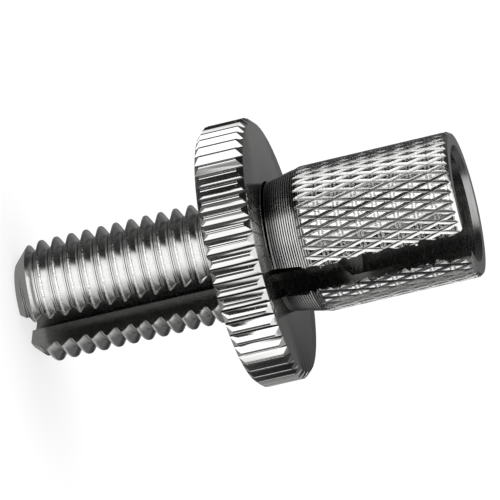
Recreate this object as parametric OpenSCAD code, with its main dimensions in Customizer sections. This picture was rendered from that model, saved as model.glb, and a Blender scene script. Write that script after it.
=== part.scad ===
// Adjusting screw for a control cable: a threaded shank and a hollow knurled barrel in
// one piece, slotted along its whole length, with a toothed lock ring on the thread.
// Millimetres. +Z runs up the axis from the thread end to the barrel end, and the slot
// opens towards -Y. The origin is the centre of the thread end face.

/* [Shank] */
// length from the thread end to the shoulder under the barrel
shank_len = 21.16; // [20.2:0.02:24]
// outside diameter over the thread crests
thread_d = 9.76; // [9.5:0.02:9.9]
// distance from one crest to the next
thread_pitch = 1.25; // [1:0.25:1.5]
// height of the 45 degree chamfer on the thread end
end_chamfer = 1.33; // [0.8:0.01:1.5]
// height of the first crest above the thread end
first_crest = 1.28; // [1:0.01:1.6]
// how much lower the crests are where the thread runs out under the ring
crest_drop = 0.2; // [0.16:0.02:0.4]

/* [Barrel] */
// length of the barrel from the shoulder to its end face
barrel_len = 15.26; // [14:0.02:18]
// diameter over the flat tops of the knurl
barrel_d = 11.78; // [11.4:0.02:12.4]
// diameter of the turned taper at the shoulder
taper_d = 10.44; // [10.4:0.02:10.8]
// length of the turned taper
taper_len = 2.87; // [2.4:0.01:3.4]
// bevel around the barrel end
end_bevel = 0.15; // [0.1:0.01:0.3]

/* [Knurl] */
// diamonds around the barrel
knurl_count = 45; // [40:1:50]
// nominal length of one diamond along the axis
knurl_cell = 3.06; // [2.6:0.02:3.6]
// depth of the knurl grooves
knurl_depth = 0.26; // [0.15:0.01:0.3]
// share of each diamond that stays flat on top
knurl_flat = 0.54; // [0.4:0.01:0.7]
// turn of the knurl about the axis, in degrees
knurl_turn = 3.25; // [0:0.25:8]

/* [Turned grooves] */
// distance between the fine grooves on the taper
groove_pitch = 0.2; // [0.18:0.01:0.3]
// depth of the fine grooves
groove_depth = 0.035; // [0.02:0.005:0.05]

/* [Bores and slot] */
// width of the slot for the cable
slot_w = 2.8; // [2.2:0.05:2.9]
// diameter of the cable bore through the shank
cable_bore_d = 4.2; // [4.1:0.05:4.6]
// diameter of the bore that takes the cable's end sleeve
sleeve_bore_d = 8.8; // [8.4:0.05:9.2]
// depth of that bore, without the drill point
sleeve_bore_depth = 9.75; // [8:0.05:10.5]
// full angle of the drill point
drill_angle = 118; // [110:1:130]
// chamfer on the mouth of the bore
mouth_chamfer = 0.4; // [0.2:0.02:0.5]

/* [Lock ring] */
// diameter over the teeth
ring_d = 21.28; // [20.6:0.02:22]
// thickness
ring_t = 4; // [3.4:0.05:4.6]
// teeth around the rim
ring_teeth = 56; // [48:4:64]
// depth of the teeth
tooth_depth = 0.5; // [0.35:0.01:0.6]
// width of the land left on each tooth
tooth_land = 0.16; // [0.1:0.01:0.25]
// turn of the teeth about the axis, in degrees
tooth_turn = -0.96; // [-4:0.02:4]
// chamfer around both faces
ring_chamfer = 0.46; // [0.3:0.01:0.6]
// chamfer on both ends of the threaded hole
ring_countersink = 0.2; // [0.1:0.01:0.24]
// radial clearance between the hole and the thread crests
thread_clearance = 0.08; // [0.05:0.01:0.1]
// gap left between the ring and the shoulder
ring_gap = 0.05; // [0.02:0.01:0.1]

/* [Hidden] */
total_len = shank_len + barrel_len;
eps = 0.03;
cut = 1;

crest_r = thread_d / 2;
thread_h = 0.6134 * thread_pitch;
root_r = crest_r - thread_h;
crest_w = thread_pitch / 8;
flank_w = thread_h * tan(30);
relief_len = 0.8;
last_z = shank_len - relief_len - crest_w / 2 - flank_w;
crest_count = floor((last_z - first_crest) / thread_pitch) + 1;
relief_r = root_r - 0.05;

barrel_r = barrel_d / 2;
groove_r = barrel_r - knurl_depth;
core_r = groove_r - 0.06;
shell_r = core_r - 0.3;
taper_end_r = barrel_r - 0.11;
knurl_z0 = shank_len + taper_len;
knurl_z1 = total_len - end_bevel;
knurl_rows = 2 * round((knurl_z1 - knurl_z0) / knurl_cell);
row_h = (knurl_z1 - knurl_z0) / knurl_rows;
cell_a = 360 / knurl_count;

groove_count = floor((taper_len - 0.3) / groove_pitch);
taper_slope = (taper_end_r - taper_d / 2) / taper_len;

cable_r = cable_bore_d / 2;
sleeve_r = sleeve_bore_d / 2;
sleeve_z = total_len - sleeve_bore_depth;
point_len = (sleeve_r - cable_r) / tan(drill_angle / 2);

ring_r = ring_d / 2;
ring_root_r = ring_r - tooth_depth;
ring_z = shank_len - ring_gap - ring_t;
ring_hole_r = crest_r + thread_clearance;
tooth_a = 360 / ring_teeth;
land_a = tooth_land / ring_r * 180 / PI;

// Node to build, or all of them.

// Radius of the bare taper at a height above the shoulder.
function taper_r(h) = taper_d / 2 + taper_slope * h;

// A point on the knurl at a radius, an angle and a row, which may be a fraction.
function knurl_pt(r, a, row) =
    [r * sin(a + knurl_turn), -r * cos(a + knurl_turn), knurl_z0 + row * row_h];

// Shank profile from the axis out: one flat-topped V ridge for each turn of the thread.
function ridge(z) =
    let (r = z < ring_z ? crest_r : crest_r - crest_drop,
         w = crest_w / 2 + (r - root_r) * tan(30))
    [[root_r, z - w], [r, z - crest_w / 2], [r, z + crest_w / 2], [root_r, z + w]];

// Threaded shank, solid, with the end chamfer and the relief under the shoulder.
module shank() {
    intersection() {
        rotate_extrude($fn = 96)
            polygon(concat(
                [[0, 0], [root_r, 0]],
                [for (k = [0 : crest_count - 1], p = ridge(first_crest + k * thread_pitch)) p],
                [[root_r, shank_len - relief_len], [relief_r, shank_len - relief_len + 0.1],
                 [relief_r, shank_len + cut], [0, shank_len + cut]]));
        rotate_extrude($fn = 96)
            polygon([[0, 0], [crest_r - end_chamfer, 0], [crest_r + cut, end_chamfer + cut],
                     [crest_r + cut, shank_len + 2 * cut], [0, shank_len + 2 * cut]]);
    }
}

// Barrel under the knurl, solid: the finely grooved taper, the core and the end bevel.
module barrel_core() {
    translate([0, 0, shank_len])
        rotate_extrude($fn = 96)
            polygon(concat(
                [[0, 0], [taper_r(0), 0]],
                [for (k = [0 : groove_count - 1], q = [0 : 2])
                    let (h = 0.1 + k * groove_pitch + q * groove_pitch / 3)
                    [taper_r(h) - (q == 1 ? groove_depth : 0), h]],
                [[taper_r(taper_len), taper_len + eps],
                 [core_r, taper_len + eps],
                 [core_r, barrel_len - end_bevel - eps],
                 [barrel_r - 0.03, barrel_len - end_bevel - eps],
                 [barrel_r - 0.03 - end_bevel, barrel_len],
                 [0, barrel_len]]));
}

// Diamond knurl as one closed shell. Vertices come in four lists: the crossings of the
// grooves, the flat tops' ends along the axis, their ends around it, and the inside.
module knurl() {
    n = knurl_count;
    m = knurl_rows;
    crossings = [for (j = [0 : m], i = [0 : n - 1])
        knurl_pt(groove_r, (i + (j % 2) / 2) * cell_a, j)];
    sides = [for (j = [0 : m], i = [0 : n - 1], q = [-1, 1])
        knurl_pt(barrel_r, (i + 0.5 + (j % 2) / 2 + q * knurl_flat / 2) * cell_a, j)];
    tips = [for (j = [0 : m], i = [0 : n - 1], q = [-1, 1])
        knurl_pt(barrel_r, (i + 0.5 + (j % 2) / 2) * cell_a, j + q * knurl_flat)];
    inside = [for (j = [0, m], i = [0 : n - 1]) knurl_pt(shell_r, i * cell_a, j)];
    s0 = len(crossings);
    t0 = s0 + len(sides);
    i0 = t0 + len(tips);
    function c(j, i) = j * n + (i + n) % n;
    function s(j, i, q) = s0 + (j * n + i) * 2 + q;
    function t(j, i, q) = t0 + (j * n + i) * 2 + q;
    function w(q, i) = i0 + q * n + (i + n) % n;
    upper = [for (j = [0 : m - 1], i = [0 : n - 1])
        let (k = i + (j % 2))
        each [
            [c(j, i), c(j + 1, k), t(j, i, 1)],
            [c(j, i), t(j, i, 1), s(j, i, 0)],
            [c(j + 1, k), c(j, i + 1), s(j, i, 1)],
            [c(j + 1, k), s(j, i, 1), t(j, i, 1)]
        ]];
    lower = [for (j = [1 : m], i = [0 : n - 1])
        let (k = i + (j % 2))
        each [
            [c(j - 1, k), c(j, i), s(j, i, 0)],
            [c(j - 1, k), s(j, i, 0), t(j, i, 0)],
            [c(j, i + 1), c(j - 1, k), t(j, i, 0)],
            [c(j, i + 1), t(j, i, 0), s(j, i, 1)]
        ]];
    tops = [for (j = [1 : m - 1], i = [0 : n - 1])
        each [
            [t(j, i, 0), s(j, i, 0), t(j, i, 1)],
            [t(j, i, 0), t(j, i, 1), s(j, i, 1)]
        ]];
    halves = [for (i = [0 : n - 1])
        each [
            [s(0, i, 0), t(0, i, 1), s(0, i, 1)],
            [s(m, i, 0), s(m, i, 1), t(m, i, 0)]
        ]];
    ends = [for (i = [0 : n - 1])
        each [
            [w(0, i), c(0, i), s(0, i, 0), s(0, i, 1), c(0, i + 1), w(0, i + 1)],
            [w(1, i + 1), c(m, i + 1), s(m, i, 1), s(m, i, 0), c(m, i), w(1, i)]
        ]];
    walls = [for (i = [0 : n - 1]) [w(0, i), w(0, i + 1), w(1, i + 1), w(1, i)]];
    polyhedron(points = concat(crossings, sides, tips, inside),
               faces = concat(upper, lower, tops, halves, ends, walls), convexity = 6);
}

// Bores on the axis: the cable bore, the sleeve bore with its drill point, the mouth.
module bores() {
    translate([0, 0, -cut])
        cylinder(r = cable_r, h = total_len + 2 * cut, $fn = 64);
    translate([0, 0, sleeve_z])
        cylinder(r = sleeve_r, h = sleeve_bore_depth + cut, $fn = 96);
    translate([0, 0, sleeve_z - point_len])
        cylinder(r1 = cable_r, r2 = sleeve_r, h = point_len, $fn = 96);
    translate([0, 0, total_len - mouth_chamfer])
        cylinder(r1 = sleeve_r, r2 = sleeve_r + mouth_chamfer + cut, h = mouth_chamfer + cut,
                 $fn = 96);
}

module adjusting_screw() {
    color([0.74, 0.75, 0.76])
        difference() {
            union() {
                shank();
                barrel_core();
                knurl();
            }
            bores();
            translate([-slot_w / 2, -barrel_r - cut, -cut])
                cube([slot_w, barrel_r + cut, total_len + 2 * cut]);
        }
}

// Rim of the lock ring: V teeth, each with a narrow land.
function rim_pt(r, a) = [r * sin(a), -r * cos(a)];

module lock_ring() {
    color([0.8, 0.8, 0.81])
        translate([0, 0, ring_z])
            difference() {
                intersection() {
                    linear_extrude(height = ring_t)
                        rotate(tooth_turn)
                            polygon([for (i = [0 : ring_teeth - 1]) each [
                                rim_pt(ring_r, i * tooth_a - land_a / 2),
                                rim_pt(ring_r, i * tooth_a + land_a / 2),
                                rim_pt(ring_root_r, (i + 0.5) * tooth_a)
                            ]]);
                    rotate_extrude($fn = 120)
                        polygon([[0, 0], [ring_r - ring_chamfer, 0],
                                 [ring_r + eps, ring_chamfer + eps],
                                 [ring_r + eps, ring_t - ring_chamfer - eps],
                                 [ring_r - ring_chamfer, ring_t], [0, ring_t]]);
                }
                translate([0, 0, -cut])
                    cylinder(r = ring_hole_r, h = ring_t + 2 * cut, $fn = 96);
                translate([0, 0, -eps])
                    cylinder(r1 = ring_hole_r + ring_countersink + eps, r2 = ring_hole_r,
                             h = ring_countersink + eps, $fn = 96);
                translate([0, 0, ring_t - ring_countersink])
                    cylinder(r1 = ring_hole_r, r2 = ring_hole_r + ring_countersink + eps,
                             h = ring_countersink + eps, $fn = 96);
            }
}

adjusting_screw();
lock_ring();
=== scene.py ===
import math

import bmesh
import bpy
from mathutils import Matrix, Quaternion, Vector, noise


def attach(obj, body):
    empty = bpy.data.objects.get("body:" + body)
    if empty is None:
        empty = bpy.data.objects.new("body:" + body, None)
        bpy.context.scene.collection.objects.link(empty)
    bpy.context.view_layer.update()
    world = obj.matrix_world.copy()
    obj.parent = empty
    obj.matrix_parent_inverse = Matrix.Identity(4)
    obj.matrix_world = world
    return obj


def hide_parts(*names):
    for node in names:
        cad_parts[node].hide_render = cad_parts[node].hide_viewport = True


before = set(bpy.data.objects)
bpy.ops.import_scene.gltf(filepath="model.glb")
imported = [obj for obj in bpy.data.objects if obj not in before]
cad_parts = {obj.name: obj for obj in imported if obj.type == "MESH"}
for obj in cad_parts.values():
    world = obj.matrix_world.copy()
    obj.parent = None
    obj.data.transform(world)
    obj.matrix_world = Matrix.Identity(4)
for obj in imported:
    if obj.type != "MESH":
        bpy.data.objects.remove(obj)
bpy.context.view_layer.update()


# Threaded shank. On the real part it is cut on the bar that the barrel is turned from:
# a right-hand 60 degree thread of 1.25 mm pitch, with narrow flat crests. Sizes are in
# millimetres until the finished screw is scaled to metres.
class Value:
    """One output of a node. Operators on it add the Math nodes that they stand for."""

    def __init__(self, net, socket):
        self.net = net
        self.socket = socket

    def __add__(self, other):
        return self.net.math("ADD", self, other)

    __radd__ = __add__

    def __sub__(self, other):
        return self.net.math("SUBTRACT", self, other)

    def __rsub__(self, other):
        return self.net.math("SUBTRACT", other, self)

    def __mul__(self, other):
        return self.net.math("MULTIPLY", self, other)

    __rmul__ = __mul__

    def __truediv__(self, other):
        return self.net.math("DIVIDE", self, other)

    def __rtruediv__(self, other):
        return self.net.math("DIVIDE", other, self)


class Net:
    """A node tree being built."""

    def __init__(self, tree):
        self.tree = tree

    def add(self, kind, settings=None, sockets=None, output=0):
        """Adds a node: its settings first, then a value or a link for each socket."""
        node = self.tree.nodes.new(kind)
        for name, setting in (settings or {}).items():
            setattr(node, name, setting)
        for key, value in (sockets or {}).items():
            if isinstance(value, Value):
                self.tree.links.new(value.socket, node.inputs[key])
            else:
                node.inputs[key].default_value = value
        return Value(self, node.outputs[output])

    def math(self, operation, *operands):
        return self.add("ShaderNodeMath", {"operation": operation}, dict(enumerate(operands)))

    def step(self, value, low, high):
        """0 below low, 1 above high, smooth between; the other way if low is above high."""
        return self.add("ShaderNodeMapRange", {"interpolation_type": "SMOOTHSTEP"}, {
            "Value": value, "From Min": low, "From Max": high})


def grow(name, sizes, finish, shape):
    """An object whose mesh comes from a geometry tree with these sizes as named inputs."""
    tree = bpy.data.node_groups.new(name, "GeometryNodeTree")
    tree.interface.new_socket("Geometry", in_out="OUTPUT", socket_type="NodeSocketGeometry")
    for label, value in sizes.items():
        kind = "NodeSocketInt" if isinstance(value, int) else "NodeSocketFloat"
        tree.interface.new_socket(label, in_out="INPUT", socket_type=kind)
    net = Net(tree)
    source = tree.nodes.new("NodeGroupInput")
    geometry = shape(net, {label: Value(net, source.outputs[label]) for label in sizes})
    geometry = net.add("GeometryNodeRealizeInstances", None, {"Geometry": geometry})
    geometry = net.add("GeometryNodeSetMaterial", None,
                       {"Geometry": geometry, "Material": finish})
    sink = tree.nodes.new("NodeGroupOutput")
    tree.links.new(geometry.socket, sink.inputs["Geometry"])
    piece = bpy.data.objects.new(name, bpy.data.meshes.new(name))
    piece.data.materials.append(finish)
    bpy.context.scene.collection.objects.link(piece)
    modifier = piece.modifiers.new(name, "NODES")
    modifier.node_group = tree
    for item in tree.interface.items_tree:
        if item.in_out == "INPUT":
            modifier[item.identifier] = sizes[item.name]
    return piece


class Finish(Net):
    """A bright plated metal: its shader, and places on the piece in millimetres."""

    def __init__(self, name, color, roughness):
        self.material = bpy.data.materials.new(name)
        self.material.use_nodes = True
        super().__init__(self.material.node_tree)
        self.shader = self.tree.nodes["Principled BSDF"]
        self.shader.inputs["Metallic"].default_value = 1
        self.shader.inputs["Base Color"].default_value = color
        self.shader.inputs["Roughness"].default_value = roughness
        place = self.add("ShaderNodeTexCoord", None, None, "Object")
        self.place = self.add("ShaderNodeVectorMath", {"operation": "SCALE"},
                              {0: place, "Scale": 1000.0})
        self.across = self.add("ShaderNodeSeparateXYZ", None, {"Vector": self.place}, "X")
        self.depth = Value(self, self.across.socket.node.outputs["Y"])
        self.height = Value(self, self.across.socket.node.outputs["Z"])
        self.radius = self.math("SQRT", self.across * self.across + self.depth * self.depth)

    def noise(self, vector, scale, detail=2.0, w=None):
        """Soft random values around 0.5; a fourth coordinate may be given."""
        sockets = {"Vector": vector, "Scale": scale, "Detail": detail}
        if w is None:
            return self.add("ShaderNodeTexNoise", None, sockets)
        return self.add("ShaderNodeTexNoise", {"noise_dimensions": "4D"}, sockets | {"W": w})

    def turned(self, around, along, detail=3.0):
        """Marks that a lathe leaves: long around the axis, close together along it."""
        ray = self.add("ShaderNodeCombineXYZ", None, {
            "X": self.across / self.radius * around, "Y": self.depth / self.radius * around,
            "Z": self.height * along})
        return self.noise(ray, 1.0, detail, self.radius * along)

    def feed(self, label, value):
        self.tree.links.new(value.socket, self.shader.inputs[label])

    def shade(self, dark, light, share):
        """Base colour between two colours."""
        mixed = self.add("ShaderNodeMix", {"data_type": "RGBA"}, {0: share, 6: dark, 7: light}, 2)
        self.feed("Base Color", mixed)

    def raise_by(self, height, micrometres):
        """Relief too small to model, up to so many micrometres high."""
        self.feed("Normal", self.add("ShaderNodeBump", None, {
            "Strength": 1.0, "Distance": micrometres * 1e-6, "Height": height}))


SEGMENTS = 192
PITCH = 1.25
TURNS = 20
CREST_R = 4.88
ROOT_R = 4.113
CREST_Z = 2.645
CREST_HALF = PITCH / 16
FLANK_SLOPE = math.sqrt(3)
thread_steel = Finish("cut_thread_steel", (0.78, 0.78, 0.77, 1), 0.16)
tool_lines = thread_steel.turned(1.5, 7.0)
specks = thread_steel.step(thread_steel.noise(thread_steel.place, 9.0, 4.0), 0.50, 0.64)
crests = thread_steel.step(thread_steel.radius, 4.70, 4.86)
bruises = specks * crests
patches = thread_steel.noise(thread_steel.place, 0.7, 3.0)
around = thread_steel.math("ARCTAN2", thread_steel.across, thread_steel.depth * -1)
# Share of a turn above the crest; the whole turns that are added keep it positive.
past_crest = thread_steel.math(
    "FRACT", (thread_steel.height - CREST_Z) / PITCH - around / math.tau + TURNS)
# Painted shade: the root of each turn is darkened to a thin near-black line, standing in for the
# shade that falls in the valley.
root_painted_shade = thread_steel.step(thread_steel.math("ABSOLUTE", past_crest - 0.5), 0.045, 0.025)
# Painted shade: near the slot, the flank that rises to each crest is darkened, wider the closer
# to the slot, with a ragged edge from the specks.
near_slot = thread_steel.step(thread_steel.math("ABSOLUTE", around), 0.62, 0.28)
slot_side_painted_shade = thread_steel.step(past_crest - 0.97 + 0.44 * near_slot + 0.12 * specks, 0.0, 0.08)
slot_side_painted_shade = slot_side_painted_shade * near_slot * thread_steel.step(past_crest, 0.96, 0.92)
thread_steel.feed("Roughness", 0.07 + 0.10 * tool_lines + 0.08 * patches + 0.22 * bruises
                  + 0.3 * root_painted_shade)
thread_steel.shade((0.05, 0.05, 0.05, 1), (0.82, 0.82, 0.81, 1),
                   1 - 0.30 * bruises - 0.08 * specks - 0.9 * root_painted_shade - 0.75 * slot_side_painted_shade)
thread_steel.raise_by(tool_lines * 0.35 + bruises, 5.0)
# Heights of the rows of one turn, in pitches from its crest.
PROFILE = (-0.445, -0.40, -0.085, -0.05, 0.05, 0.085, 0.40, 0.445)


def helix(net, size):
    """A closed rod with a helical thread, from rows that follow the helix."""
    columns = size["Columns"]
    rows = len(PROFILE) * size["Turns"] + 2
    index = net.add("GeometryNodeInputIndex")
    row = net.math("FLOOR", (index + 0.5) / (columns + 1))
    column = index - row * (columns + 1)
    step = row - 1
    turn = net.math("FLOOR", (step + 0.5) / len(PROFILE))
    share = net.add("GeometryNodeIndexSwitch", {"data_type": "FLOAT"})
    switch = share.socket.node
    while len(switch.index_switch_items) < len(PROFILE):
        switch.index_switch_items.new()
    place = net.math("FLOORED_MODULO", step, len(PROFILE))
    net.tree.links.new(place.socket, switch.inputs[0])
    for k, from_crest in enumerate(PROFILE):
        switch.inputs[k + 1].default_value = from_crest
    raw = size["First"] + size["Pitch"] * (turn + share + column / columns)
    pole_low = net.math("LESS_THAN", row, 0.5)
    pole_high = net.math("GREATER_THAN", row, rows - 1.5)
    off_low = net.math("LESS_THAN", raw, size["Bottom"])
    off_high = net.math("GREATER_THAN", raw, size["Top"])
    on = 1 - net.math("MAXIMUM", off_low, off_high)
    side = net.math("ABSOLUTE", share) * size["Pitch"]
    rise = (size["Ridge Half Width"] - side) * FLANK_SLOPE
    rise = net.math("MINIMUM", net.math("MAXIMUM", rise, 0), size["Crest"] - size["Root"])
    radius = (size["Root"] + rise * on) * (1 - pole_low) * (1 - pole_high)
    height = net.math("MINIMUM", net.math("MAXIMUM", raw, size["Bottom"]), size["Top"])
    angle = column / columns * math.tau
    position = net.add("ShaderNodeCombineXYZ", None, {
        "X": radius * net.math("SINE", angle),
        "Y": radius * net.math("COSINE", angle) * -1,
        "Z": height})
    grid = net.add("GeometryNodeMeshGrid", None,
                   {"Vertices X": rows, "Vertices Y": columns + 1})
    placed = net.add("GeometryNodeSetPosition", None, {"Geometry": grid, "Position": position})
    return net.add("GeometryNodeMergeByDistance", None, {"Geometry": placed, "Distance": 1e-4})


rod = grow("shank_thread", {
    "Columns": SEGMENTS, "Turns": TURNS, "Pitch": PITCH, "First": CREST_Z - 4 * PITCH,
    "Root": ROOT_R, "Crest": CREST_R, "Bottom": -0.9, "Top": 21.5,
    "Ridge Half Width": CREST_HALF + (CREST_R - ROOT_R) / FLANK_SLOPE},
    thread_steel.material, helix)


# Turned outline of the whole bar: end chamfer, relief, finely grooved taper, barrel and
# its end bevel. It is one piece of steel, turned between the thread and the knurl.
def lathe(name, outline, finish, segments=SEGMENTS):
    """A closed solid of revolution. The outline starts and ends on the axis."""
    shape = bmesh.new()
    rings = []
    for radius, height in outline:
        if radius == 0:
            rings.append([shape.verts.new((0, 0, height))])
        else:
            rings.append([shape.verts.new((
                radius * math.sin(math.tau * k / segments),
                -radius * math.cos(math.tau * k / segments),
                height)) for k in range(segments)])
    for low, high in zip(rings, rings[1:]):
        for k in range(segments):
            n = (k + 1) % segments
            corners = [low[k % len(low)], low[n % len(low)], high[n % len(high)],
                       high[k % len(high)]]
            shape.faces.new(list(dict.fromkeys(corners)))
    bmesh.ops.recalc_face_normals(shape, faces=shape.faces)
    mesh = bpy.data.meshes.new(name)
    shape.to_mesh(mesh)
    shape.free()
    mesh.materials.append(finish)
    piece = bpy.data.objects.new(name, mesh)
    bpy.context.scene.collection.objects.link(piece)
    return piece


SHOULDER_Z = 21.12
END_Z = 36.42
BARREL_R = 5.93
TAPER_R = 5.21
TAPER_SLOPE = 0.218
GROOVES = 12
GROOVE_Z = 21.36
GROOVE_PITCH = 0.197
turned_steel = Finish("turned_steel", (0.78, 0.78, 0.77, 1), 0.14)
tool_lines = turned_steel.turned(0.8, 9.0)
patches = turned_steel.noise(turned_steel.place, 0.8, 3.0)
scuffs = turned_steel.step(turned_steel.noise(turned_steel.place, 6.0, 5.0), 0.56, 0.66)
# Painted shade: the taper's fine grooves are darkened to near-black lines, and the taper's foot
# by the shoulder is darkened too, standing in for the shade that falls there.
phase = turned_steel.math("FRACT", (turned_steel.height - GROOVE_Z) / GROOVE_PITCH + 0.5)
hollow = turned_steel.step(turned_steel.math("ABSOLUTE", phase - 0.5), 0.32, 0.16)
tapered = (turned_steel.step(turned_steel.height, 21.15, 21.20)
           * turned_steel.step(turned_steel.height, 24.25, 24.15)
           * turned_steel.step(turned_steel.radius, 5.0, 5.1))
foot_painted_shade = turned_steel.step(turned_steel.height, 22.7, 21.4) * turned_steel.step(
    turned_steel.height, 21.05, 21.35)
painted_groove_and_foot_shade = turned_steel.math("MAXIMUM", hollow * tapered, foot_painted_shade * 0.93)
turned_steel.feed("Roughness", 0.08 + 0.12 * tool_lines + 0.08 * patches + 0.10 * scuffs)
turned_steel.shade((0.03, 0.03, 0.03, 1), (0.80, 0.80, 0.79, 1),
                   1 - 0.05 * scuffs - 0.94 * painted_groove_and_foot_shade)
turned_steel.raise_by(tool_lines + 0.2 * scuffs, 3.0)
outline = [(0, 0), (3.55, 0), (5.40, 1.85), (5.40, 19.7), (4.063, 20.4), (4.063, SHOULDER_Z),
           (TAPER_R - 0.02, SHOULDER_Z), (TAPER_R, SHOULDER_Z + 0.02)]
for k in range(GROOVES):
    z = GROOVE_Z + GROOVE_PITCH * k
    r = TAPER_R + TAPER_SLOPE * (z - SHOULDER_Z)
    outline.append((r - 0.004, z - GROOVE_PITCH * 0.56))
    outline.append((r - 0.001, z - GROOVE_PITCH * 0.46))
    outline.append((r - 0.045, z - GROOVE_PITCH * 0.04))
outline += [(5.775, 23.70), (5.745, 23.75), (5.80, 23.83), (5.84, 23.91), (5.805, 23.95),
            (5.87, 24.03), (5.89, 24.10), (5.85, 24.14), (BARREL_R, 24.24), (BARREL_R, 35.84),
            (5.85, 35.89), (5.85, 35.96), (5.905, 36.02), (5.905, 36.09), (5.70, 36.405),
            (5.68, END_Z), (0, END_Z)]
envelope = lathe("turned_outline", outline, turned_steel.material)


# Diamond knurl, rolled into the barrel after turning: 45 flat-topped diamonds around and
# V grooves between them. The wheel's edge leaves the grooves open on the taper.
KNURL_COUNT = 45
KNURL_ROW = 1.53
KNURL_Z = 24.03
KNURL_TURN = 3.25
TOP_R = 5.89
GROOVE_R = 5.757
FLAT = 0.54


def ring_point(radius, degrees, height):
    """A corner at this radius, so many degrees round from the slot."""
    angle = math.radians(degrees)
    return (radius * math.sin(angle), -radius * math.cos(angle), height)


def solid(name, corners, faces, finish):
    """An object from corner points and faces that list them."""
    mesh = bpy.data.meshes.new(name)
    mesh.from_pydata(corners, [], faces)
    mesh.materials.append(finish)
    piece = bpy.data.objects.new(name, mesh)
    bpy.context.scene.collection.objects.link(piece)
    return piece


knurl_steel = Finish("knurled_steel", (0.78, 0.78, 0.77, 1), 0.16)
around = (knurl_steel.math("ARCTAN2", knurl_steel.across, knurl_steel.depth * -1)
          * (KNURL_COUNT / math.tau) - KNURL_TURN * KNURL_COUNT / 360)
along = (knurl_steel.height - KNURL_Z + KNURL_ROW) / (2 * KNURL_ROW)
left_hand = around + along
right_hand = around - along
left_hand = left_hand - knurl_steel.math("ROUND", left_hand)
right_hand = right_hand - knurl_steel.math("ROUND", right_hand)
from_middle = (left_hand + right_hand) * 0.41
from_waist = (left_hand - right_hand) * KNURL_ROW
bars = (knurl_steel.step(knurl_steel.math("ABSOLUTE", from_middle), 0.17, 0.12)
        * knurl_steel.step(knurl_steel.math(
            "ABSOLUTE", knurl_steel.math("ABSOLUTE", from_waist) - 0.15), 0.10, 0.05))
tops = knurl_steel.step(knurl_steel.radius, 5.84, 5.875)
grain = knurl_steel.noise(knurl_steel.place, 7.0, 5.0)
pits = knurl_steel.step(grain, 0.60, 0.68) * tops
marks = knurl_steel.math("MAXIMUM", bars * tops * knurl_steel.step(grain, 0.40, 0.50), pits * 0.8)
knurl_steel.feed("Roughness", 0.10 + 0.22 * (1 - tops) * grain + 0.25 * marks)
# Painted shade: the bottoms of the knurl's V grooves are darkened, standing in for the shade that
# falls in them.
knurl_groove_painted_shade = knurl_steel.step(knurl_steel.radius, 5.80, 5.772)
knurl_steel.shade((0.03, 0.03, 0.03, 1), (0.84, 0.84, 0.83, 1),
                  1 - 0.4 * marks - 0.4 * grain * (1 - tops) - 0.45 * knurl_groove_painted_shade)
knurl_steel.raise_by((1 - tops) * grain * 0.7 - marks, 25.0)
half = 180 / KNURL_COUNT
diamond = solid("knurl_diamond", [
    ring_point(GROOVE_R, -half, 0), ring_point(GROOVE_R, 0, -KNURL_ROW),
    ring_point(GROOVE_R, half, 0), ring_point(GROOVE_R, 0, KNURL_ROW),
    ring_point(TOP_R, -half * FLAT, 0), ring_point(TOP_R, 0, -KNURL_ROW * FLAT),
    ring_point(TOP_R, half * FLAT, 0), ring_point(TOP_R, 0, KNURL_ROW * FLAT)], [
    (0, 1, 4), (4, 1, 5), (1, 2, 6), (1, 6, 5), (2, 3, 6), (6, 3, 7), (3, 0, 4), (3, 4, 7),
    (4, 5, 6, 7)], knurl_steel.material)


def knurled(net, size):
    """Diamonds on a cylinder, row by row, closed at both ends by a fan to the axis."""
    count = size["Count"]
    index = net.add("GeometryNodeInputIndex")
    row = net.math("FLOOR", (index + 0.5) / count)
    place = net.add("ShaderNodeCombineXYZ", None, {"Z": size["First"] + row * size["Row"]})
    turn = net.add("ShaderNodeCombineXYZ", None, {
        "Z": (index + 0.5 * net.math("FLOORED_MODULO", row, 2)) / count * math.tau
        + size["Turn"]})
    points = net.add("GeometryNodePoints", None,
                     {"Count": count * size["Rows"], "Position": place})
    unit = net.add("GeometryNodeObjectInfo", None, {"Object": diamond}, "Geometry")
    stamped = net.add("GeometryNodeInstanceOnPoints", None, {
        "Points": points, "Instance": unit, "Rotation": turn})
    skin = net.add("GeometryNodeRealizeInstances", None, {"Geometry": stamped})
    skin = net.add("GeometryNodeMergeByDistance", None, {"Geometry": skin, "Distance": 1e-3})
    sides = net.add("GeometryNodeInputMeshEdgeNeighbors")
    open_edge = net.math("LESS_THAN", sides, 1.5)
    pulled = net.add("GeometryNodeExtrudeMesh", {"mode": "EDGES"}, {
        "Mesh": skin, "Selection": open_edge, "Offset Scale": 0.0})
    rim = Value(net, pulled.socket.node.outputs["Top"])
    spot = net.add("ShaderNodeSeparateXYZ", None, {
        "Vector": net.add("GeometryNodeInputPosition")}, "Z")
    upper = net.math("GREATER_THAN", spot, size["Middle"])
    pole = net.add("ShaderNodeCombineXYZ", None, {
        "Z": size["Low Pole"] + (size["High Pole"] - size["Low Pole"]) * upper})
    closed = net.add("GeometryNodeSetPosition", None, {
        "Geometry": pulled, "Selection": rim, "Position": pole})
    return net.add("GeometryNodeMergeByDistance", None, {"Geometry": closed, "Distance": 1e-3})


knurl = grow("knurl", {
    "Count": KNURL_COUNT, "Rows": 11, "Row": KNURL_ROW, "First": KNURL_Z - KNURL_ROW,
    "Turn": math.radians(KNURL_TURN), "Middle": 30.0,
    "Low Pole": KNURL_Z - KNURL_ROW, "High Pole": KNURL_Z + 9 * KNURL_ROW},
    knurl_steel.material, knurled)
collar = lathe("plain_collar", [(0, 20.6), (5.95, 20.6), (5.95, 23.6), (5.60, 23.8), (0, 23.8)],
               turned_steel.material)
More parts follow.
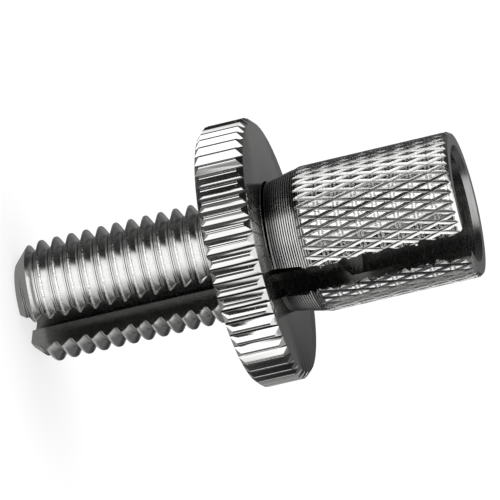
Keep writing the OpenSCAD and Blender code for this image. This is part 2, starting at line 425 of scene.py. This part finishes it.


# Bores and the slot that the cable drops in through: a drilled cable bore, a wider bore
# for the end sleeve with its drill point, a chamfered mouth, and a slot sawn lengthways.
# Painted shade: the bores, their mouth chamfer and the ring's hole are coloured much darker than
# the outer steel of the same plating, standing in for the shade inside them.
drilled_steel_painted_shade = Finish("drilled_steel_painted_shade", (0.70, 0.70, 0.69, 1), 0.2)
drill_lines = drilled_steel_painted_shade.turned(3.0, 5.0, 4.0)
drilled_steel_painted_shade.feed("Roughness", 0.14 + 0.22 * drill_lines)
drilled_steel_painted_shade.shade((0.20, 0.20, 0.20, 1), (0.48, 0.48, 0.47, 1), drill_lines)
drilled_steel_painted_shade.raise_by(drill_lines, 8.0)
sawn_steel = Finish("sawn_steel", (0.72, 0.72, 0.71, 1), 0.22)
drawn = sawn_steel.add("ShaderNodeVectorMath", {"operation": "MULTIPLY"},
                       {0: sawn_steel.place, 1: (6.0, 6.0, 0.25)})
saw_lines = sawn_steel.noise(drawn, 1.0, 3.0)
burrs = sawn_steel.noise(sawn_steel.place, 5.0, 4.0)
torn = (sawn_steel.step(sawn_steel.radius, 5.20, 5.40)
        * sawn_steel.step(burrs, 0.45, 0.60))
sawn_steel.feed("Roughness", 0.12 + 0.12 * saw_lines + 0.15 * torn)
sawn_steel.shade((0.48, 0.47, 0.46, 1), (0.74, 0.74, 0.73, 1), saw_lines)
sawn_steel.raise_by(saw_lines * 0.3 + torn, 6.0)
bores = lathe("bores", [(0, -1), (2.1, -1), (2.1, 25.288), (4.4, 26.67), (4.4, 35.91),
                        (5.04, 36.82), (0, 36.82)], drilled_steel_painted_shade.material)
SLOT_HALF = 1.4
SLOT_START = -1
SLOT_STEP = 0.17
SLOT_STEPS = 227
THREAD_TOP = 20.5
KNURL_FOOT = 23.3
BEVEL_FOOT = 36.3
# Distances from the axis of the corners along each wall, closer near the surface.
SLOT_DEPTHS = (0.0, 3.4, 3.95, 4.2, 4.4, 4.6, 4.8, 5.0, 5.2, 5.36, 5.5, 5.62, 5.74, 5.84, 5.94,
               7.0)


def lip(side, depth, height):
    """How far the saw has pushed metal into the slot near the surface, in millimetres."""
    rough = noise.noise(Vector((height * 2.6, side * 9.0, depth * 2.0)))
    fine = noise.noise(Vector((height * 8.0, side * 5.0, depth * 5.0 + 3.0)))
    if height < THREAD_TOP:
        share = max(0.0, min(1.0, (depth - 4.1) / 0.4)) * 0.5
        return share * (0.07 + 0.12 * rough + 0.09 * fine)
    if height < KNURL_FOOT or height > BEVEL_FOOT:
        return 0.015 * (1 + fine)
    row = (height - KNURL_Z) / KNURL_ROW + 0.5 * side
    swell = 0.5 + 0.5 * math.cos(math.tau * row)
    share = max(0.0, min(1.0, (depth - 5.25) / 0.45))
    size = 1.9 if side > 0 else 1.1
    return share * size * max(0.0, 0.10 + 0.15 * swell + 0.24 * rough + 0.10 * fine)


def slot_loop(height):
    """The slot's corners at one height, down one wall and up the other."""
    right = [(SLOT_HALF - lip(1, d, height), -d, height) for d in SLOT_DEPTHS]
    left = [(lip(-1, d, height) - SLOT_HALF, -d, height) for d in reversed(SLOT_DEPTHS)]
    return right + left


loops = [slot_loop(SLOT_START + SLOT_STEP * k) for k in range(SLOT_STEPS)]
n = 2 * len(SLOT_DEPTHS)
slot = solid("slot", [corner for loop in loops for corner in loop],
             [tuple(range(n)), tuple(range(n * (len(loops) - 1), n * len(loops)))[::-1]]
             + [(n * r + (k + 1) % n, n * r + k, n * (r + 1) + k, n * (r + 1) + (k + 1) % n)
                for r in range(len(loops) - 1) for k in range(n)], sawn_steel.material)


def cut_with(piece, tools):
    """Cuts the piece with each tool in turn; new faces keep the tool's finish."""
    for tool, operation in tools:
        cut = piece.modifiers.new(tool.name, "BOOLEAN")
        cut.object = tool
        cut.operation = operation
        cut.solver = "MANIFOLD"
        cut.material_mode = "TRANSFER"


def finished(source, name, spent, sharp):
    """The evaluated object as a plain mesh in metres, smooth but for its sharp edges."""
    bpy.context.view_layer.update()
    graph = bpy.context.evaluated_depsgraph_get()
    mesh = bpy.data.meshes.new_from_object(source.evaluated_get(graph))
    mesh.transform(Matrix.Scale(0.001, 4))
    used = [0] * len(mesh.polygons)
    mesh.polygons.foreach_get("material_index", used)
    metals = list(mesh.materials)
    kept = [metal for metal in metals if metal]
    mesh.materials.clear()
    for metal in kept:
        mesh.materials.append(metal)
    mesh.polygons.foreach_set("material_index", [kept.index(metals[k]) for k in used])
    mesh.polygons.foreach_set("use_smooth", [True] * len(mesh.polygons))
    mesh.set_sharp_from_angle(angle=math.radians(sharp))
    mesh.name = name
    piece = bpy.data.objects.new(name, mesh)
    bpy.context.scene.collection.objects.link(piece)
    for tool in (source, *spent):
        bpy.data.objects.remove(tool)
    return piece


cut_with(rod, ((collar, "UNION"), (knurl, "UNION"), (envelope, "INTERSECT"),
               (bores, "DIFFERENCE"), (slot, "DIFFERENCE")))
screw = finished(rod, "screw_body", (collar, knurl, diamond, envelope, bores, slot), 24)
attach(screw, "screw")
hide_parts("adjusting_screw")


# Lock ring: a disc of the same bright plated steel with 56 V teeth rolled into the rim and
# both edges chamfered. It runs on the thread and locks the screw against its bracket.
TEETH = 56
TOOTH_TURN = -0.96
RING_R = 10.64
RING_LOW = 17.11
RING_HIGH = 21.11
HOLE_R = 4.96
TAP_ROOT = 4.90
TAP_DEPTH = 0.55
# One tooth, as steps along the rim from its crest and the radius there.
TOOTH = ((-0.597, 10.125), (-0.53, 10.128), (-0.505, 10.138), (-0.14, 10.607), (-0.12, 10.628),
         (-0.10, 10.64), (-0.045, 10.64), (-0.025, 10.622), (0.0, 10.61), (0.025, 10.622),
         (0.045, 10.64), (0.10, 10.64), (0.12, 10.628), (0.14, 10.607), (0.515, 10.172),
         (0.54, 10.15))
tooth_steel = Finish("toothed_steel", (0.80, 0.80, 0.80, 1), 0.10)
drawn = tooth_steel.add("ShaderNodeVectorMath", {"operation": "MULTIPLY"},
                        {0: tooth_steel.place, 1: (7.0, 7.0, 0.20)})
rolled_lines = tooth_steel.noise(drawn, 1.0, 3.0)
dents = tooth_steel.step(tooth_steel.noise(tooth_steel.place, 3.2, 2.0), 0.70, 0.76)
turn = tooth_steel.math("ARCTAN2", tooth_steel.across, tooth_steel.depth * -1) * (
    TEETH / math.tau) - TOOTH_TURN * TEETH / 360
from_crest = tooth_steel.math("ABSOLUTE", turn - tooth_steel.math("ROUND", turn))
pitch_mm = math.tau * RING_R / TEETH
grime = tooth_steel.math("MAXIMUM",
                         tooth_steel.step(from_crest * pitch_mm, 0.49, 0.52),
                         tooth_steel.step(from_crest * pitch_mm, 0.05, 0.035))
tooth_steel.feed("Roughness", 0.05 + 0.10 * rolled_lines + 0.2 * dents + 0.2 * grime)
tooth_steel.shade((0.02, 0.02, 0.02, 1), (0.82, 0.82, 0.81, 1), 1 - 0.05 * dents - 0.95 * grime)
tooth_steel.raise_by(rolled_lines - dents, 2.5)
# Painted shade: the ring's faces are coloured darker than the teeth, though they are the same
# plated steel, so that they look shaded.
face_steel = Finish("faced_steel_painted_shade", (0.76, 0.76, 0.76, 1), 0.2)
facing_lines = face_steel.turned(0.6, 5.0)
blots = face_steel.noise(face_steel.place, 0.9, 4.0)
rubs = face_steel.step(face_steel.noise(face_steel.place, 3.5, 5.0), 0.56, 0.70)
face_steel.feed("Roughness", 0.04 + 0.05 * facing_lines + 0.08 * blots + 0.06 * rubs)
face_steel.shade((0.34, 0.34, 0.33, 1), (0.62, 0.62, 0.61, 1), 1 - 0.25 * rubs - 0.15 * blots)
face_steel.raise_by(facing_lines + 0.3 * rubs, 1.2)
rim = []
for k in range(TEETH):
    for offset, radius in TOOTH:
        rim.append((radius, 360 * k / TEETH + TOOTH_TURN + math.degrees(offset / RING_R)))
n = len(rim)
blank = solid("ring_blank",
              [ring_point(r, a, z) for z in (RING_LOW - 0.5, RING_HIGH + 0.5) for r, a in rim],
              [tuple(range(n))[::-1], tuple(range(n, 2 * n))]
              + [(k, (k + 1) % n, n + (k + 1) % n, n + k) for k in range(n)],
              tooth_steel.material)
faces = lathe("ring_faces", [
    (0, RING_LOW), (10.15, RING_LOW), (10.19, RING_LOW + 0.015), (10.9, RING_LOW + 0.72),
    (10.9, RING_HIGH - 0.77), (10.19, RING_HIGH - 0.06), (10.15, RING_HIGH - 0.045),
    (5.6, RING_HIGH), (0, RING_HIGH)],
    face_steel.material, 360)
hole = lathe("ring_hole", [(0, 16.5), (5.77, 16.5), (HOLE_R, RING_LOW + 0.2),
                           (HOLE_R, RING_HIGH - 0.2), (5.77, 21.72), (0, 21.72)],
             drilled_steel_painted_shade.material)
tap = grow("ring_thread", {
    "Columns": 96, "Turns": 8, "Pitch": PITCH, "First": CREST_Z + 9 * PITCH,
    "Root": TAP_ROOT, "Crest": TAP_ROOT + TAP_DEPTH, "Bottom": 16.3, "Top": 21.9,
    "Ridge Half Width": CREST_HALF + TAP_DEPTH / FLANK_SLOPE}, thread_steel.material, helix)
cut_with(blank, ((faces, "INTERSECT"), (hole, "DIFFERENCE"), (tap, "DIFFERENCE")))
ring = finished(blank, "ring_body", (faces, hole, tap), 35)
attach(ring, "ring")
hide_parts("lock_ring")


# Studio: a white floor that keeps a soft shadow. Dark and light boards stand around the
# bright metal; only reflections see them. One large soft lamp hangs overhead.
AZIMUTH = -33.1
BOARDS = ((-180, 0.20), (-165, 0.18), (-150, 0.04), (-126, 0.03), (-118, 0.06), (-104, 0.08),
          (-88, 0.04), (-70, 0.01), (-62, 0.05), (-57, 1.0), (-45, 1.5), (-20, 1.5), (-2, 1.4),
          (3, 1.0), (8, 0.12), (12, 0.015), (40, 0.015), (48, 0.25), (60, 0.3), (86, 0.3),
          (93, 1.1), (114, 1.1), (121, 0.2), (140, 0.12), (165, 0.18), (180, 0.20))
TABLE = ((-180, 0.30), (-150, 0.24), (-125, 0.11), (-105, 0.045), (-85, 0.02), (-68, 0.012),
         (-63, 0.3), (-58, 1.2), (-45, 1.5), (-12, 1.5), (0, 1.0), (12, 0.6), (24, 0.3),
         (35, 0.2), (60, 0.25), (90, 0.5), (110, 0.5), (140, 0.25), (180, 0.30))
bpy.ops.mesh.primitive_plane_add(size=4, location=(0, 0, 0))
floor = bpy.context.object
floor.name = "floor"


def bearing(net, place):
    """Share of a full turn about the screw's axis, 0.5 towards the camera."""
    x = net.add("ShaderNodeSeparateXYZ", None, {"Vector": place}, "X")
    y = Value(net, x.socket.node.outputs["Y"])
    turn = net.math("ARCTAN2", x, y * -1) / math.tau + 0.5 - AZIMUTH / 360
    return net.math("FRACT", turn + 1)


def ramp(net, share, stops):
    """Brightness by bearing, from pairs of degrees and strength."""
    spread = net.add("ShaderNodeValToRGB", None, {0: share})
    points = spread.socket.node.color_ramp.elements
    while len(points) < len(stops):
        points.new(0.5)
    for point, (degrees, strength) in zip(points, stops):
        point.position = (degrees + 180) / 360
        point.color = (strength, strength, strength, 1)
    return spread


def seen_by(net):
    """1 for rays from the camera, and 1 for reflected or transmitted rays."""
    path = net.tree.nodes.new("ShaderNodeLightPath")
    camera = Value(net, path.outputs["Is Camera Ray"])
    mirrored = net.math("MAXIMUM", Value(net, path.outputs["Is Glossy Ray"]),
                        Value(net, path.outputs["Is Transmission Ray"]))
    return camera, mirrored


paint = bpy.data.materials.new("white_floor")
paint.use_nodes = True
net = Net(paint.node_tree)
coat = net.tree.nodes["Principled BSDF"]
coat.inputs["Base Color"].default_value = (0.35, 0.35, 0.35, 1)
coat.inputs["Roughness"].default_value = 1
coat.inputs["Specular IOR Level"].default_value = 0
camera_ray, mirror_ray = seen_by(net)
place = net.add("ShaderNodeTexCoord", None, None, "Object")
boards = ramp(net, bearing(net, place), BOARDS)
table = ramp(net, bearing(net, place), TABLE)
reach = net.add("ShaderNodeVectorMath", {"operation": "LENGTH"}, {0: place}, "Value")
# Painted shadow: within about 8 mm of the axis, what reflections see of the floor is a dim 0.25
# patch, standing in for the screw's shadow beneath it.
beyond_painted_shadow = net.step(reach, 0.0072, 0.0080)
far = net.step(reach, 0.078, 0.088)
shine = 0.25 * (1 - beyond_painted_shadow) + (table * (1 - far) + boards * far) * beyond_painted_shadow
board = net.add("ShaderNodeEmission", None, {"Color": shine})
fill = net.add("ShaderNodeEmission", None, {"Strength": camera_ray * 0.73})
lit = net.add("ShaderNodeAddShader", None, {0: Value(net, coat.outputs["BSDF"]), 1: fill})
both = net.add("ShaderNodeMixShader", None, {0: mirror_ray, 1: lit, 2: board})
net.tree.links.new(both.socket, net.tree.nodes["Material Output"].inputs["Surface"])
floor.data.materials.append(paint)

world = bpy.data.worlds.new("studio")
bpy.context.scene.world = world
world.use_nodes = True
net = Net(world.node_tree)
camera_ray, mirror_ray = seen_by(net)
way = net.add("ShaderNodeTexCoord", None, None, "Generated")
x = net.add("ShaderNodeSeparateXYZ", None, {"Vector": way}, "X")
y = Value(net, x.socket.node.outputs["Y"])
z = Value(net, x.socket.node.outputs["Z"])
turn = math.radians(AZIMUTH)
towards = x * math.sin(turn) - y * math.cos(turn)
beside = x * math.cos(turn) + y * math.sin(turn)
LOW_BOARDS = ((-180, 0.13), (-176, 0.20), (-168, 0.22), (-150, 0.07), (-115, 0.10),
              (-105, 0.25), (-86, 0.25), (-80, 1.0), (-50, 1.3), (-8, 1.3), (2, 0.5), (10, 0.02),
              (80, 0.02), (92, 0.4), (120, 0.4), (150, 0.04), (174, 0.035), (180, 0.13))
HIGH_BOARDS = ((-180, 0.14), (-150, 0.10), (-120, 0.05), (-75, 0.01), (-60, 0.1), (-54, 1.2),
               (-8, 1.2), (0, 0.2), (20, 0.06), (90, 0.07), (125, 0.2), (150, 0.12), (180, 0.14))


def card(low, high, left, right, soft):
    """A soft-edged card overhead: its reach towards the camera and to the side."""
    return (net.step(towards, low - soft, low + soft)
            * net.step(towards, high + soft, high - soft)
            * net.step(beside, left - soft, left + soft)
            * net.step(beside, right + soft, right - soft))


def between(start, end, sooner, later):
    """One brightness below a height of the sky, another above it."""
    share = net.step(z, start, end)
    return sooner * (1 - share) + later * share


turn = bearing(net, way)
overhead = (0.015 + 1.3 * card(-0.35, 0.95, -0.14, 0.60, 0.05)
            + 1.3 * card(0.24, 0.95, -0.62, -0.14, 0.05)
            + 0.5 * card(-0.70, -0.35, 0.10, 0.95, 0.08))
pattern = between(0.24, 0.30, ramp(net, turn, LOW_BOARDS), ramp(net, turn, HIGH_BOARDS))
pattern = between(0.60, 0.68, pattern, overhead)
glow = net.add("ShaderNodeMix", {"data_type": "FLOAT"}, {0: mirror_ray, 2: 0.7, 3: pattern})
glow = net.add("ShaderNodeMix", {"data_type": "FLOAT"}, {0: camera_ray, 2: glow, 3: 1.0})
backdrop = net.tree.nodes["Background"]
backdrop.inputs["Color"].default_value = (1, 1, 1, 1)
net.tree.links.new(glow.socket, backdrop.inputs["Strength"])

lamp = bpy.data.lights.new("overhead_lamp", "AREA")
lamp.shape = "RECTANGLE"
lamp.size = 0.5
lamp.size_y = 0.4
lamp.energy = 1.2
hung = bpy.data.objects.new("overhead_lamp", lamp)
hung.location = (-0.1, 0.1, 0.6)
hung.visible_glossy = False
bpy.context.scene.collection.objects.link(hung)


# Camera with a long lens, looking slightly down on the barrel's end. It is rolled so that
# the upright screw lies across the picture. The target is given in millimetres.
TARGET = Vector((-0.5055, -0.2158, 18.7307)) * 0.001
DISTANCE = 0.396978
azimuth = math.radians(AZIMUTH)
elevation = math.radians(10.87)
back = Vector((math.sin(azimuth) * math.cos(elevation),
               -math.cos(azimuth) * math.cos(elevation), math.sin(elevation)))
lens = bpy.data.cameras.new("camera")
lens.lens = 360
lens.sensor_width = 36
camera = bpy.data.objects.new("camera", lens)
bpy.context.scene.collection.objects.link(camera)
camera.location = TARGET + back * DISTANCE
camera.rotation_mode = "QUATERNION"
roll = Quaternion((0, 0, 1), math.radians(76.91))
camera.rotation_quaternion = back.to_track_quat("Z", "Y") @ roll
bpy.context.scene.camera = camera
bpy.context.scene.view_settings.view_transform = "Standard"
